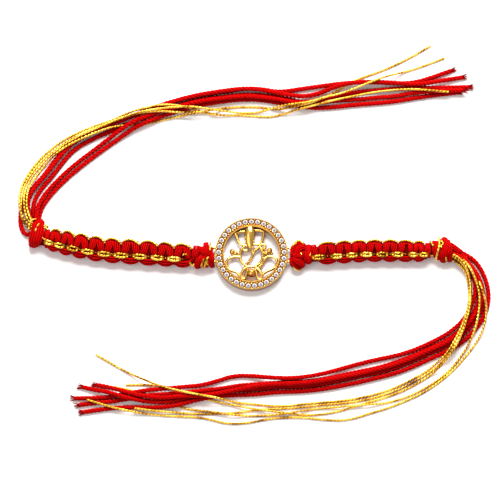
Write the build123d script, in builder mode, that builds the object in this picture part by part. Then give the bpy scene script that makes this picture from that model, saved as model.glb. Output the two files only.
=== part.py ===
from build123d import *
import math
import os

# The rakhi thread bracelet as it lies open on a table: a pierced gilt medallion with a ring of clear stones
# in the middle, a knotted cotton band on either side, an end knot on each band, and the loose cord ends.
# Lengths are in mm. X runs along the bands, Y points to the top of the medallion, and Z is up from the table.
os.makedirs("parts", exist_ok=True)

# Driving sizes of the medallion
medallion_diameter = 20.0
medallion_thickness = 2.6
opening_diameter = 15.2
stone_count = 33
stone_diameter = 1.3
stone_clearance = 0.03
openwork_wire = 0.84
bail_wire = 0.7
bail_reach = 1.25
bail_spread = 4.2

# Driving sizes of the cotton and of the gold thread
yarn_diameter = 1.2
thread_diameter = 0.6
band_height = 4.2
piece_gap = 0.12

# Medallion sizes that follow
outer_radius = medallion_diameter / 2
opening_radius = opening_diameter / 2
rim_height = 0.3
rim_width = 0.3
face_height = medallion_thickness - rim_height
stone_radius = stone_diameter / 2
stone_circle = outer_radius - rim_width - stone_radius - 0.05
stone_step = 360 / stone_count
bead_radius = 0.25
inner_ledge = 0.5
seat_radius = stone_radius + stone_clearance
ball_margin = 1.1
ball_share = 0.96


def bend_radii(points):
    """The radius at each inner corner: the arc takes 0.45 of the shorter run beside it."""
    radii = []
    corners = [Vector(*point) for point in points]
    for before, corner, after in zip(corners, corners[1:], corners[2:]):
        run_in = corner - before
        run_out = after - corner
        turn = math.radians(run_in.get_angle(run_out))
        radii.append(0.45 * min(run_in.length, run_out.length) / math.tan(turn / 2))
    return radii


def flat_ball(radius):
    """A ball with a small flat on its top and on its underside."""
    with BuildPart() as ball:
        Sphere(radius)
        Cylinder(2 * radius, 2 * ball_share * radius, mode=Mode.INTERSECT)
    return ball.part


def round_wire(points, radius):
    """A round wire with a slightly larger flat ball at each end, straight between the arcs at its points."""
    with BuildPart() as rod:
        with BuildLine() as middle:
            FilletPolyline(*points, radius=bend_radii(points))
        with BuildSketch(Plane(middle.line @ 0, z_dir=middle.line % 0)):
            Circle(radius)
        sweep()
        with Locations(points[0], points[-1]):
            add(flat_ball(ball_margin * radius))
    return rod.part


# Medallion ring: a flat band of metal with a thin raised rim on its outside and inside
with BuildPart() as ring:
    with BuildSketch(Plane.XZ):
        with BuildLine():
            Polyline(
                (opening_radius, 0),
                (outer_radius, 0),
                (outer_radius, medallion_thickness),
                (outer_radius - rim_width, medallion_thickness),
                (outer_radius - rim_width, face_height),
                (opening_radius + inner_ledge, face_height),
                (opening_radius + rim_width, medallion_thickness),
                (opening_radius, medallion_thickness),
                close=True,
            )
        make_face()
    revolve(axis=Axis.Z)

# Cut stone: a table and eight facets over the girdle, eight facets under it
crown_height = 0.3
table_radius = 0.6 * stone_radius
pavilion_depth = 0.65
culet_radius = 0.12
girdle_height = face_height + 0.05
with BuildPart() as gem:
    with BuildSketch(Plane.XY.offset(-pavilion_depth)):
        RegularPolygon(culet_radius, 8)
    with BuildSketch():
        RegularPolygon(stone_radius, 8)
    loft(ruled=True)
    with BuildSketch():
        RegularPolygon(stone_radius, 8)
    with BuildSketch(Plane.XY.offset(crown_height)):
        RegularPolygon(table_radius, 8)
    loft(ruled=True)

# Openwork of the medallion: a traditional figure with its crown, seated, as bent wires inside the ring.
# The columns are the wire's name, its level and its points across the opening. A level is a small step up, so
# that wires that cross or run side by side do not lie at the very same height.
wire_height = 1.3
level_step = 0.035
wire_radius = openwork_wire / 2
openwork = (
    ("crown left side", 0, ((-4.8, 6.5), (-4.1, 5.1), (-3.6, 3.6), (-2.8, 2.7), (-1.8, 2.6), (-0.7, 2.4))),
    ("crown right side", 2, ((3.5, 7.2), (3.2, 4.8), (2.8, 3.4), (2.0, 2.8), (0.3, 2.9))),
    ("left thigh", 1, (
        (-3.1, -0.7), (-4.8, -0.6), (-6.1, -1.0), (-6.8, -1.9), (-6.9, -3.0), (-6.4, -3.9), (-5.5, -4.5),
        (-4.4, -4.8), (-3.6, -5.3), (-3.3, -6.2), (-3.4, -7.1),
    )),
    ("right thigh", 2, (
        (3.5, -1.2), (4.8, -0.5), (5.9, -0.6), (6.8, -1.3), (7.1, -2.3), (6.7, -3.4), (5.6, -4.1),
        (4.2, -4.7), (3.4, -5.2), (2.8, -5.8),
    )),
    ("left of the belly", 1, (
        (-1.8, 2.4), (-2.8, 1.4), (-3.2, 0.1), (-3.1, -1.1), (-2.5, -2.3), (-1.5, -3.2),
    )),
    ("right of the belly", 4, (
        (2.2, 2.4), (2.9, 1.2), (3.2, 0.1), (3.0, -1.2), (2.3, -2.5), (1.0, -3.3), (-0.4, -3.5),
        (-1.6, -3.3),
    )),
    ("trunk", 2, ((2.3, 2.2), (1.2, 1.4), (0.5, 0.4), (0.2, -0.5), (-0.5, -1.7), (-1.3, -2.6), (-1.4, -3.4))),
    ("trunk tip", 3, ((0.0, 2.3), (0.2, 1.2), (0.5, 0.3))),
    ("crown left bar", 1, ((-4.1, 6.1), (-3.0, 6.4), (-1.0, 6.45))),
    ("crown right bar", 3, ((0.4, 6.7), (1.8, 6.85), (3.2, 6.5))),
    ("ear curl", 0, ((-2.2, 2.45), (-2.3, 1.6), (-1.8, 1.0), (-1.15, 1.1))),
    ("right curl", 2, ((2.1, 2.3), (2.9, 2.95), (3.7, 2.7), (3.9, 2.0), (3.5, 1.6))),
    ("right fold", 2, ((4.5, -0.5), (3.7, -1.2), (3.0, -2.6), (1.6, -3.9))),
    ("left foot", 3, (
        (-1.2, -3.6), (-2.2, -4.2), (-2.8, -5.3), (-2.85, -6.2), (-2.5, -6.8), (-1.9, -6.8), (-1.6, -6.2),
        (-1.4, -5.3), (-1.0, -4.3),
    )),
    ("right foot", 3, (
        (1.1, -3.6), (2.1, -4.3), (2.75, -5.3), (2.95, -6.2), (2.65, -7.0), (1.95, -7.0), (1.65, -6.4),
        (1.4, -5.4), (1.05, -4.4),
    )),
)
# round bosses of the figure, with the columns name, place across the opening, radius and height of the middle
bosses = (
    ("left wrist", -4.35, 0.3, 0.75, 1.4),
    ("left hand", -5.25, 0.75, 0.8, 1.5),
    ("right wrist", 4.05, 0.35, 0.7, 1.4),
    ("right hand", 4.9, 1.05, 0.85, 1.5),
    ("right elbow", 5.6, 0.3, 0.45, 1.35),
    ("ball", 0.0, -5.2, 1.18, 1.6),
)

# Crown drop: a raised leaf that reaches over the ring's inner edge, with its tip at the figure's brow.
# A row per cross-section, from the tip up; the columns are its place along Y and X and its width.
drop_height = 1.85
drop_bulge = 0.7
crown_drop = (
    (1.3, 0.0, 0.3),
    (2.3, -0.38, 1.5),
    (3.5, -0.46, 2.3),
    (4.7, -0.45, 2.8),
    (5.9, -0.42, 3.05),
    (7.0, -0.42, 2.7),
    (7.7, -0.36, 1.9),
    (8.05, -0.3, 0.7),
)
with BuildPart() as drop:
    for y, x, width in crown_drop:
        with BuildSketch(Plane.XZ.offset(-y)):
            with Locations((x, drop_height)):
                Ellipse(width / 2, drop_bulge * width / 2)
    loft()

# Bail: a D-shaped side wire on the ring that the band is tied to
bail_radius = bail_wire / 2
bail_height = medallion_thickness / 2
bail_middle = outer_radius + bail_reach - bail_radius


def side_bail(side, radius):
    """The bail at one side of the ring, +1 right and -1 left."""
    foot = outer_radius - 2 * bail_radius
    corner = 0.42 * bail_spread
    points = [
        (side * foot, bail_spread / 2, bail_height),
        (side * bail_middle, corner, bail_height),
        (side * bail_middle, -corner, bail_height),
        (side * foot, -bail_spread / 2, bail_height),
    ]
    return round_wire(points, radius)


def export_piece(piece, name):
    """Names one piece and writes its file."""
    piece.label = name
    export_step(piece, f"parts/{name}.step")


# Medallion: ring, stone seats, beads, openwork, bosses, side bails and crown drop, soldered into one body
with BuildPart() as medallion:
    add(ring.part)
    with PolarLocations(stone_circle, stone_count, start_angle=90):
        with Locations((0, 0, girdle_height)):
            Cone(
                culet_radius + stone_clearance,
                seat_radius,
                pavilion_depth,
                align=(Align.CENTER, Align.CENTER, Align.MAX),
                mode=Mode.SUBTRACT,
            )
    # a bead of metal between each two stones, on either side of them
    for reach in (-stone_radius, stone_radius):
        with PolarLocations(stone_circle + reach, stone_count, start_angle=90 + stone_step / 2):
            with Locations((0, 0, face_height)):
                Sphere(bead_radius)
    for name, level, points in openwork:
        height = wire_height + level_step * level
        add(round_wire([(x, y, height) for x, y in points], wire_radius))
    for name, x, y, radius, height in bosses:
        with Locations((x, y, height)):
            add(flat_ball(radius))
    for side in (1, -1):
        add(side_bail(side, bail_radius))
    add(drop.part)
export_piece(medallion.part, "medallion")

for number in range(stone_count):
    angle = 90 - number * stone_step
    x = stone_circle * math.cos(math.radians(angle))
    y = stone_circle * math.sin(math.radians(angle))
    place = Location((x, y, girdle_height + stone_clearance), (0, 0, angle))
    export_piece(gem.part.moved(place), f"stone_{number + 1:02d}")

# Bands: a row per knot, along X. The columns are the knot's place along X and Y and the band's width there.
left_knots = (
    (-55.4, 4.1, 5.9),
    (-52.3, 3.4, 6.6),
    (-48.7, 2.6, 6.9),
    (-44.7, 1.7, 6.8),
    (-40.3, 1.1, 6.9),
    (-35.7, 0.7, 6.9),
    (-30.6, 0.4, 7.0),
    (-25.7, 0.0, 6.8),
    (-21.2, -0.4, 6.5),
    (-16.5, -0.6, 6.7),
)
right_knots = (
    (18.4, 0.0, 6.0),
    (23.2, 0.3, 6.1),
    (27.5, 0.6, 6.1),
    (31.5, 0.8, 6.0),
    (35.9, 0.8, 6.0),
    (40.1, 0.8, 6.0),
    (44.3, 0.7, 5.8),
    (47.3, 0.6, 5.4),
)
# single wraps that end each band, with the columns place along X and Y, width and length
left_end_wraps = (
    (-55.6, 4.2, 5.6, 1.9),
    (-12.5, -0.4, 7.1, 4.4),
)
right_end_wraps = (
    (12.4, -0.2, 8.1, 4.3),
    (15.9, -0.1, 5.6, 4.0),
    (47.8, 0.6, 5.2, 2.2),
)
band_middle = band_height / 2
wrap_height = 0.9 * band_height
wrap_overlap = 1.14


def wrap(x, y, width, length, turn=0):
    """Cord wrapped across the band, as one oval body with its two faces rounded off."""
    edge = min(0.42 * wrap_height**2 / width, 0.4 * length)
    with BuildPart() as body:
        with BuildSketch(Plane.YZ.offset(-length / 2)):
            Ellipse(width / 2, wrap_height / 2)
        extrude(amount=length)
        fillet(body.edges(), radius=edge)
    return body.part.moved(Location((x, y, band_middle), (0, 0, turn)))


def ply(start, end, radius):
    """A plump ply of cord: a straight rod between two balls."""
    with BuildPart() as rod:
        with BuildLine() as middle:
            Line(start, end)
        with BuildSketch(Plane(middle.line @ 0, z_dir=middle.line % 0)):
            Circle(radius)
        sweep()
        with Locations(start, end):
            Sphere(radius)
    return rod.part


def knot_plies(x, y, width, step, turn):
    """The plies that meet in a V at one knot, on the top of the band and on its underside."""
    plump = 0.21 * step
    bodies = []
    for up in (1, -1):
        for side in (1, -1):
            start = (side * 0.27 * step, 0.24 * width, up * 0.21 * band_height)
            end = (side * 0.12 * step, -0.1 * width, up * (band_middle - plump))
            bodies.append(ply(start, end, plump))
    return [body.moved(Location((x, y, band_middle), (0, 0, turn))) for body in bodies]


def band(knots, end_wraps, side):
    """One knotted band, with a slot where it is tied round the bail of its side."""
    bodies = [wrap(*row) for row in end_wraps]
    for (x, y, width), (next_x, next_y, next_width) in zip(knots, knots[1:]):
        step = math.hypot(next_x - x, next_y - y)
        turn = math.degrees(math.atan2(next_y - y, next_x - x))
        middle = ((x + next_x) / 2, (y + next_y) / 2, (width + next_width) / 2)
        bodies.append(wrap(*middle, wrap_overlap * step, turn))
        bodies.extend(knot_plies(x, y, width, step, turn))
    bodies.extend(knot_plies(*knots[-1], step, turn))
    with BuildPart() as cords:
        add(bodies)
        add(side_bail(side, bail_radius + piece_gap), mode=Mode.SUBTRACT)
    return cords.part


export_piece(band(left_knots, left_end_wraps, -1), "left_band")
export_piece(band(right_knots, right_end_wraps, 1), "right_band")


def end_knot(x, y, length, width, turns):
    """The knot that ends a band: turns of cord side by side."""
    step = length / turns
    with BuildPart() as knot:
        for number in range(turns):
            add(wrap(x + (number - (turns - 1) / 2) * step, y, width, 1.25 * step))
    return knot.part


# end knots, with the columns name, place along X and Y, length, width and turns
end_knots = (
    ("left_knot", -58.85, 5.95, 3.9, 8.0, 3),
    ("right_knot", 52.05, 1.1, 5.3, 6.7, 4),
)
for name, x, y, length, width, turns in end_knots:
    export_piece(end_knot(x, y, length, width, turns), name)

# Loose ends of the cords, each through its route points, from its knot to its cut end
strands = (
    ("left_yarn_1", yarn_diameter, (
        (-60.7, 10.2, 1.55), (-61.3, 13.2, 1.4), (-61.1, 16, 1.75), (-59.2, 19, 1.8), (-56.3, 22.2, 1.8),
        (-53.3, 26.3, 1.75), (-50.3, 30, 1.7), (-46.6, 32.7, 1.75), (-41.9, 34.9, 1.85), (-36.4, 37.2, 1.9),
        (-30.7, 39.6, 1.9), (-25.1, 41.7, 1.9), (-19.6, 43.4, 1.9), (-13.8, 44.8, 1.9), (-7.5, 45.8, 1.9),
        (-1.8, 46.5, 1.9), (2.9, 46.1, 1.85), (7, 45.2, 1.8), (10.8, 44.5, 1.6), (14.7, 44.3, 1.2),
        (18.5, 45.2, 0.6), (21.8, 46.5, 1.9), (25.3, 47.5, 2.75), (30.3, 48.2, 2.45), (36.6, 48.2, 1.95),
        (42.1, 47.7, 1.95), (46.2, 47.6, 1.7), (51.9, 48.7, 1.25), (57.7, 49.8, 0.6),
    )),
    ("left_yarn_2", yarn_diameter, (
        (-59.8, 10.2, 0.6), (-59.9, 13.2, 0.6), (-59.3, 15.8, 0.6), (-57.5, 18.7, 0.6), (-54.6, 22, 0.6),
        (-51.9, 25.7, 0.6), (-49.2, 29, 0.6), (-45.8, 31.4, 0.6), (-41.2, 33.6, 0.6), (-36.1, 35.8, 0.6),
        (-30.6, 38, 0.6), (-25.1, 40.3, 0.6), (-19.6, 42.1, 0.6), (-13.8, 43.6, 0.6), (-7.5, 44.3, 0.6),
        (-2.3, 45, 0.6), (2.3, 44.9, 0.6), (7, 44.2, 0.6), (10.5, 43.6, 0.6), (13.8, 42.8, 0.6),
        (17.1, 43, 0.6), (21, 44.1, 0.6), (25.3, 45, 0.6), (29.7, 45.7, 0.6), (34.7, 46.2, 0.6),
        (39.6, 46.6, 0.6), (44.5, 46.8, 0.6), (49.5, 46.8, 0.6), (54.7, 46.9, 0.6), (59.6, 47.1, 0.6),
    )),
    ("left_yarn_3", yarn_diameter, (
        (-58.3, 10.2, 0.6), (-57.5, 13.2, 0.6), (-56.2, 15.3, 0.6), (-53.8, 18.3, 0.6), (-50.1, 22, 0.6),
        (-45.9, 25.5, 0.6), (-41.2, 29.1, 0.6), (-36.6, 32.4, 0.6), (-32.2, 35.5, 1.5), (-27.8, 37.5, 1.8),
        (-23.7, 39.1, 1.2), (-19.6, 40.5, 0.6), (-14.9, 41.9, 0.6), (-9.5, 42.8, 0.95), (-3.7, 43.5, 0.95),
        (1.8, 43.6, 0.6), (7, 42.8, 0.6), (10.8, 42.2, 0.6), (14.1, 41.5, 0.6), (17.7, 41.2, 0.6),
        (22.3, 41.4, 0.6), (28.1, 42.1, 0.6), (33.6, 42.5, 0.6), (39, 43, 0.6), (44.5, 44, 0.6),
        (50.6, 44.9, 0.6), (56.9, 45.6, 0.6),
    )),
    ("left_yarn_4", yarn_diameter, (
        (-59, 10.2, 1.7), (-58.6, 13.3, 1.55), (-57.3, 15.9, 1.3), (-54.9, 19, 0.95), (-51.2, 22.9, 0.65),
        (-46.9, 26.6, 0.6), (-42.2, 30.1, 0.6), (-37.7, 33.5, 1.6), (-33.3, 36.6, 2.8), (-28.6, 38.7, 2.4),
        (-24.2, 40.3, 2), (-19.6, 41.5, 1.75), (-14.1, 42.9, 2), (-8.1, 43.6, 2.1), (-1.8, 44.3, 2.1),
        (3.7, 43.9, 1.8), (8.6, 43.2, 1.8), (12.7, 42.2, 1.8), (16.3, 42, 1.75), (20.1, 42.7, 1.45),
        (24.5, 43.3, 1), (29.2, 43.6, 0.6), (34.1, 44.1, 0.6), (39, 44.4, 0.6), (44, 45.3, 1.2),
        (48.9, 45.7, 1.55), (53.6, 45.9, 1.85), (58, 45.9, 1.85),
    )),
    ("left_yarn_5", yarn_diameter, (
        (-61.7, 5.5, 0.6), (-62.8, 6.9, 0.6), (-63.4, 9.1, 0.6), (-63.1, 12.5, 0.6), (-62.1, 15.8, 0.6),
        (-59.7, 19.1, 0.6), (-56.7, 22.5, 0.6), (-53.8, 26.6, 0.6), (-50.8, 30.4, 0.6), (-47, 33.3, 0.6),
        (-42.3, 35.2, 0.6), (-36.6, 37.5, 0.6), (-30.8, 39.6, 0.6), (-25.1, 41.9, 0.6), (-19.6, 43.5, 0.6),
        (-13.8, 44.9, 0.6), (-7.5, 45.7, 0.6), (-1.8, 46.7, 0.6), (3.2, 46.5, 0.6), (7.5, 45.6, 0.6),
        (12.7, 46.4, 0.6), (19.3, 47.3, 0.9), (25.9, 48.1, 1.4), (33, 48.5, 0.9), (39.3, 48.1, 0.6),
        (44.5, 48.2, 0.6), (50, 49.9, 0.6), (54.8, 51.7, 0.6),
    )),
    ("left_thread_1", thread_diameter, (
        (-61.5, 8.7, 1.75), (-62.7, 10.2, 2.2), (-63.5, 12.9, 2.2), (-63.7, 15.7, 1.9), (-63.2, 18.9, 0.3),
        (-61.6, 22.3, 0.3), (-57.6, 27.6, 0.3), (-52.3, 31.9, 0.3), (-47.8, 34.3, 0.3), (-42.9, 36.3, 0.3),
        (-38.2, 37.9, 0.3), (-33.8, 39.6, 1.9), (-30, 40.7, 2.75), (-24.3, 41.9, 2.9), (-18.5, 41.3, 2.7),
        (-15.2, 40.3, 2.15), (-9.9, 39.1, 0.8), (-3.2, 39.3, 0.3), (1.2, 38.9, 0.3), (5.1, 38.7, 0.3),
        (8.9, 39.5, 0.3), (12.7, 40.5, 2.35), (17.1, 41.6, 2.45), (21.8, 42.9, 2.45), (27, 44.1, 1.9),
        (33.6, 45.5, 1.45), (39, 46.1, 1.45), (44.5, 46.2, 2.35), (49.5, 45.7, 2.65), (54.1, 45.3, 2.65),
    )),
    ("left_thread_2", thread_diameter, (
        (-61.4, 9.7, 2), (-62, 11.5, 2), (-62.4, 14.4, 2.55), (-62.1, 17.5, 2.55), (-60.9, 20.8, 0.3),
        (-58.6, 24.2, 0.45), (-54, 28.9, 1.55), (-48.1, 32.6, 2.3), (-43.7, 34.5, 3.1), (-39.3, 36.4, 3.3),
        (-34.9, 38.2, 3.5), (-30.6, 39.5, 3.65), (-26.2, 40.3, 3.65), (-21.8, 40.9, 3.35),
        (-16.3, 41.2, 3.25), (-11.6, 40.5, 2.6), (-8.1, 40.1, 2.55), (-3.7, 39.8, 0.45), (2, 39.9, 0.4),
        (7, 41.3, 1.75), (10.5, 41.7, 3.3), (15.8, 42.2, 3.65), (20.7, 43.9, 3.3), (24.5, 45, 1.75),
        (28.6, 46.3, 3.05), (32.7, 48, 3.2), (36.9, 49.6, 3.1), (41.2, 51.2, 0.3), (46.7, 52.8, 0.3),
        (52.9, 55.3, 0.3),
    )),
    ("left_thread_3", thread_diameter, (
        (-60.9, 10.5, 2.55), (-61.8, 14, 2.55), (-61.2, 18.2, 2.5), (-59.7, 20.9, 1.1), (-57.6, 24, 0.3),
        (-54.7, 27.2, 1.75), (-51.5, 29.7, 2.65), (-46.1, 32.5, 2.65), (-40.7, 34.7, 2.85),
        (-37.1, 35.9, 2.1), (-33.4, 36.3, 1.4), (-29.2, 36.7, 0.3), (-25.1, 37.7, 0.3), (-20.7, 38.7, 0.3),
        (-16, 39.4, 2.4), (-11.9, 40.1, 2.4), (-8.1, 41.1, 0.65), (-3.7, 41.6, 0.3), (2.7, 41.5, 0.3),
        (7.5, 40.7, 0.3), (11.1, 41.1, 2.6), (16.8, 42.2, 3.05), (21.5, 44.7, 1.45), (24.2, 46.5, 0.3),
        (27.5, 48.7, 0.3), (31.4, 50.2, 0.3), (36.3, 51.9, 0.3), (41.5, 54.3, 0.3), (45.6, 56.6, 0.3),
        (49.2, 58.8, 0.3),
    )),
    ("left_thread_4", thread_diameter, (
        (-61.7, 7.8, 0.9), (-62.9, 10.1, 1.6), (-63.2, 13, 1.6), (-63, 16, 1.45), (-62.4, 19.2, 0.3),
        (-60.8, 22.3, 0.3), (-58.3, 25.6, 0.3), (-55.3, 28.5, 0.3), (-51.6, 31, 1.2), (-47.5, 33.4, 1.85),
        (-43.2, 35.2, 2.4), (-38.8, 36.8, 2.75), (-34.4, 38.3, 2.8), (-30.3, 39.4, 3), (-26.2, 39.9, 3.15),
        (-22.3, 39.7, 3.05), (-19, 39.8, 1.6), (-15.8, 40.2, 0.85), (-12.5, 39.9, 0.3), (-9.5, 39.6, 0.3),
    )),
    ("right_yarn_1", yarn_diameter, (
        (55.8, 1.1, 2.1), (58.1, -0.7, 2.1), (60, -3.2, 2), (61.1, -6.2, 1.9), (61.5, -10.8, 1.85),
        (60, -15.1, 1), (57.6, -19, 1.2), (54.1, -21.9, 0.95), (51.1, -23.6, 0.9), (47.5, -25.4, 0.9),
        (43.7, -27, 0.8), (39.6, -28.2, 0.6), (35.2, -29.1, 0.6), (30.8, -30.1, 0.6), (26.2, -31.4, 0.6),
        (21.2, -33, 1.4), (16.3, -34.2, 1.85), (10.8, -34.8, 1.95), (5.3, -34.6, 1.95), (0.1, -33.8, 0.6),
        (-5, -33.8, 0.6), (-10, -35.5, 0.6), (-14.1, -36.6, 0.9), (-19, -37.1, 1.3), (-24.2, -37.6, 1.35),
        (-28.9, -38, 1.3), (-33.3, -38.7, 1), (-38.2, -39.7, 0.6), (-43.2, -40.1, 0.6), (-48.4, -40.1, 0.6),
    )),
    ("right_yarn_2", yarn_diameter, (
        (55.6, -1, 1.45), (57.4, -2.2, 1.2), (59, -4, 0.6), (61.3, -7.2, 0.6), (62.4, -10.9, 0.6),
        (62.2, -13.3, 0.6), (60.7, -16.6, 0.6), (58.1, -20.1, 0.6), (55.6, -22.5, 0.6), (52.4, -24.5, 0.6),
        (48.5, -26.2, 0.6), (44.1, -28.3, 0.6), (39.5, -30.1, 0.6), (34.7, -31.6, 0.6), (29.7, -32.6, 0.6),
        (24.5, -33.8, 0.6), (18.8, -35, 1.1), (13.3, -35.7, 1.25), (7.5, -35.8, 1.25), (1.8, -36.3, 1.15),
        (-3.2, -36.6, 1.25), (-8.1, -37.7, 2), (-13.3, -38.3, 2.3), (-18.5, -38.8, 1.6),
        (-23.7, -39.1, 1.3), (-28.6, -39.4, 1.3), (-33.6, -40.2, 0.6), (-38.2, -41, 0.6),
        (-42.9, -41.4, 0.6), (-47.3, -42, 0.6),
    )),
    ("right_yarn_3", yarn_diameter, (
        (55.6, 0.4, 1), (57.8, -0.8, 0.85), (60, -2.6, 0.6), (62.5, -6.3, 0.6), (63.7, -10.8, 0.6),
        (63.3, -15, 0.6), (61.1, -18.6, 0.6), (59, -21.3, 0.6), (56.3, -23.8, 0.6), (52.9, -25.8, 0.6),
        (48.9, -27.5, 0.6), (44.5, -29.6, 0.6), (39.8, -31.5, 0.6), (34.9, -32.9, 0.6), (30, -33.9, 0.6),
        (24.8, -35.1, 0.6), (19, -36.3, 0.6), (13.3, -36.9, 0.6), (7.3, -36.9, 0.6), (1.5, -37.7, 0.6),
        (-3.7, -37.8, 0.6), (-9.5, -38.1, 0.6), (-14.9, -39.3, 1.25), (-19.9, -40.8, 1.3),
        (-24.5, -41.4, 1.3), (-28.6, -41.2, 1.4), (-34.3, -40.3, 2.3), (-39.6, -38.5, 1.8),
        (-42.9, -37.8, 0.7), (-46.4, -36.9, 0.6),
    )),
    ("right_yarn_4", yarn_diameter, (
        (55.6, 1.8, 0.6), (58.2, 0.4, 0.6), (61, -1.3, 0.6), (62.9, -3.9, 0.6), (64.3, -7.1, 0.6),
        (65, -10.6, 0.6), (64.8, -14, 0.6), (63.2, -18.4, 0.6), (60, -22.4, 0.6), (56.9, -25.1, 0.6),
        (53.3, -27.1, 0.6), (49.2, -28.9, 0.6), (44.8, -31, 0.6), (40.1, -32.9, 0.6), (35.2, -34.2, 0.6),
        (30.3, -35.4, 0.6), (25.1, -36.5, 0.6), (19.3, -37.6, 0.6), (13.3, -38.2, 0.6), (7.3, -38.3, 0.6),
        (1.5, -39, 0.6), (-3.7, -39.2, 0.6), (-9.5, -39.5, 1.15), (-15.2, -40.7, 1.3), (-20.7, -42.3, 1.3),
        (-25.9, -42.8, 1), (-31.6, -42.6, 0.6), (-36.6, -42.7, 0.6), (-41.2, -43.2, 0.6), (-46.2, -44, 0.6),
    )),
    ("right_yarn_5", yarn_diameter, (
        (55.8, -0.3, 3), (58.1, -1.6, 3.3), (59.9, -3.4, 3.3), (62.1, -6.9, 3.2), (63.1, -10.9, 1.95),
        (62.7, -14.7, 1.65), (60.4, -18.1, 1.7), (58.4, -20.7, 1.7), (55.9, -23.1, 1.7),
        (52.6, -25.2, 1.7), (48.6, -26.9, 1.7), (44.3, -29, 1.7), (39.6, -30.8, 1.7), (34.7, -32.2, 1.7),
        (29.7, -33.4, 1.75), (24.5, -34.5, 1.95), (18.8, -35.6, 2.3), (13.3, -36.3, 2.35),
        (7.3, -36.4, 2.35), (1.5, -36.9, 2.3), (-3.7, -38, 2.5), (-9.5, -39.1, 2.25), (-14.7, -39.8, 2.5),
        (-19.3, -39.8, 2.5), (-23.7, -40.3, 2.05), (-28.1, -40.1, 2.5), (-32.2, -39.3, 2.4),
        (-36, -38.1, 1.95), (-39.3, -37, 1), (-42.6, -36.3, 0.6),
    )),
    ("right_thread_1", thread_diameter, (
        (55.3, -1.8, 1.9), (57.2, -3, 1.8), (58.7, -4.9, 1.45), (59.4, -7.6, 0.3), (59.6, -10.6, 0.3),
        (59.5, -13.7, 1.9), (58.9, -16.8, 2), (57.8, -19.9, 2.65), (56.3, -23.3, 2.65), (53.3, -28.3, 1.9),
        (48.7, -32, 0.3), (44.8, -34.3, 0.3), (40.7, -36.5, 0.3), (35.8, -38.4, 0.3), (30, -39.9, 0.3),
        (24.5, -40.8, 0.3), (19, -41.2, 0.3), (14.1, -41.6, 0.3), (9.7, -42.2, 0.3), (5.1, -42.2, 0.3),
        (0.1, -41.6, 0.3), (-4.5, -41.2, 0.3), (-9.2, -40.5, 3.3), (-14.1, -39.7, 3.45),
        (-19.3, -38.7, 3.45), (-24.2, -37.3, 2.1), (-28.9, -35.3, 1.7), (-33.8, -32.9, 0.3),
        (-38.2, -30.4, 0.3), (-42.7, -27.7, 0.3),
    )),
    ("right_thread_2", thread_diameter, (
        (56.3, -1, 4), (58, -2.4, 4), (59.2, -4.4, 3.75), (59.9, -7.3, 2.3), (60.1, -10.6, 2.55),
        (59.8, -15.6, 3.3), (58.4, -20.5, 3.5), (57, -23.9, 3.5), (55.2, -27.3, 3.2), (52.7, -30.5, 2.25),
        (49.5, -33.3, 0.3), (45.5, -35.9, 0.3), (41.1, -38.2, 0.3), (36.7, -39.8, 0.3), (32.5, -41, 0.3),
        (28.2, -42.4, 0.3), (24.1, -43.6, 0.3), (20, -44.5, 0.3), (13.9, -44.8, 0.3), (7.8, -44, 0.65),
        (3.4, -43.5, 0.95), (-0.7, -42.9, 0.95), (-4.8, -42, 0.6), (-9.2, -41.1, 0.3), (-13.3, -40, 0.3),
        (-17.1, -38.8, 0.3), (-20.7, -37.4, 0.3), (-24.8, -36.5, 0.3), (-29.5, -36.2, 0.3),
        (-34.4, -36.3, 0.3),
    )),
    ("right_thread_3", thread_diameter, (
        (55.9, -1.4, 3.35), (57.7, -2.6, 3.2), (59.2, -4.7, 1.65), (60, -7.5, 1.35), (60.2, -10.6, 2.05),
        (60.1, -13.8, 2.15), (59.4, -17, 2.65), (58.3, -20.2, 2.9), (56.9, -23.5, 2.9), (54.9, -27, 2.6),
        (52.3, -30, 1), (49.2, -32.5, 0.3), (45.1, -35.1, 0.3), (41, -37.3, 0.3), (36, -39.2, 0.3),
        (30.3, -40.7, 0.3), (24.5, -41.5, 0.3), (19, -41.9, 0.3), (14.1, -42.5, 0.3), (9.5, -42.9, 0.3),
        (5.1, -43, 0.3), (0.7, -43.4, 0.3), (-3.4, -44, 0.3), (-7.8, -44.3, 0.3), (-12.5, -44.5, 0.3),
        (-17.4, -44.3, 0.3), (-22.9, -44, 1), (-28.4, -43.6, 1.5), (-32.2, -43, 1.5),
    )),
    ("right_thread_4", thread_diameter, (
        (56.4, -0.2, 4.35), (58.5, -2.4, 4.45), (60.4, -5, 4.35), (61.7, -8.1, 3.6), (62.6, -11.8, 3.1),
        (62.4, -15.7, 2.55), (61.6, -19.9, 2.3), (60.1, -24.1, 1.3), (57.6, -28.2, 0.3),
        (54.7, -31.8, 0.3), (51.1, -35, 0.3), (46.2, -38, 0.3), (41.2, -40.2, 0.3), (36.6, -41.4, 0.3),
        (32.2, -41.9, 0.95), (26, -42.4, 1), (19.9, -42.8, 0.3), (15.8, -43.2, 0.3), (12.2, -44, 1.1),
        (8.6, -44.6, 1.1), (4.5, -44.9, 0.3), (-0.4, -45, 0.3), (-5.3, -44.8, 0.95), (-9.7, -44.1, 0.95),
        (-14.1, -43.5, 0.3), (-18.5, -42.9, 0.3), (-23.9, -40.9, 0.3), (-29.2, -38.7, 0.3),
        (-33, -37.7, 0.3), (-37.7, -36.8, 0.3),
    )),
    ("right_thread_5", thread_diameter, (
        (56.7, 0.6, 3.75), (59.2, -2, 4.25), (61.1, -5, 4.25), (62.8, -9, 4.1), (64.1, -12.9, 2.8),
        (64.4, -16.2, 1.4), (63.8, -20.2, 1.35), (61.8, -24.3, 0.3), (58.9, -28.1, 0.3),
        (55.8, -31.7, 0.3), (52.2, -35, 0.3), (47, -38.6, 0.3), (41.8, -41, 0.3), (37, -42.9, 0.3),
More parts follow.
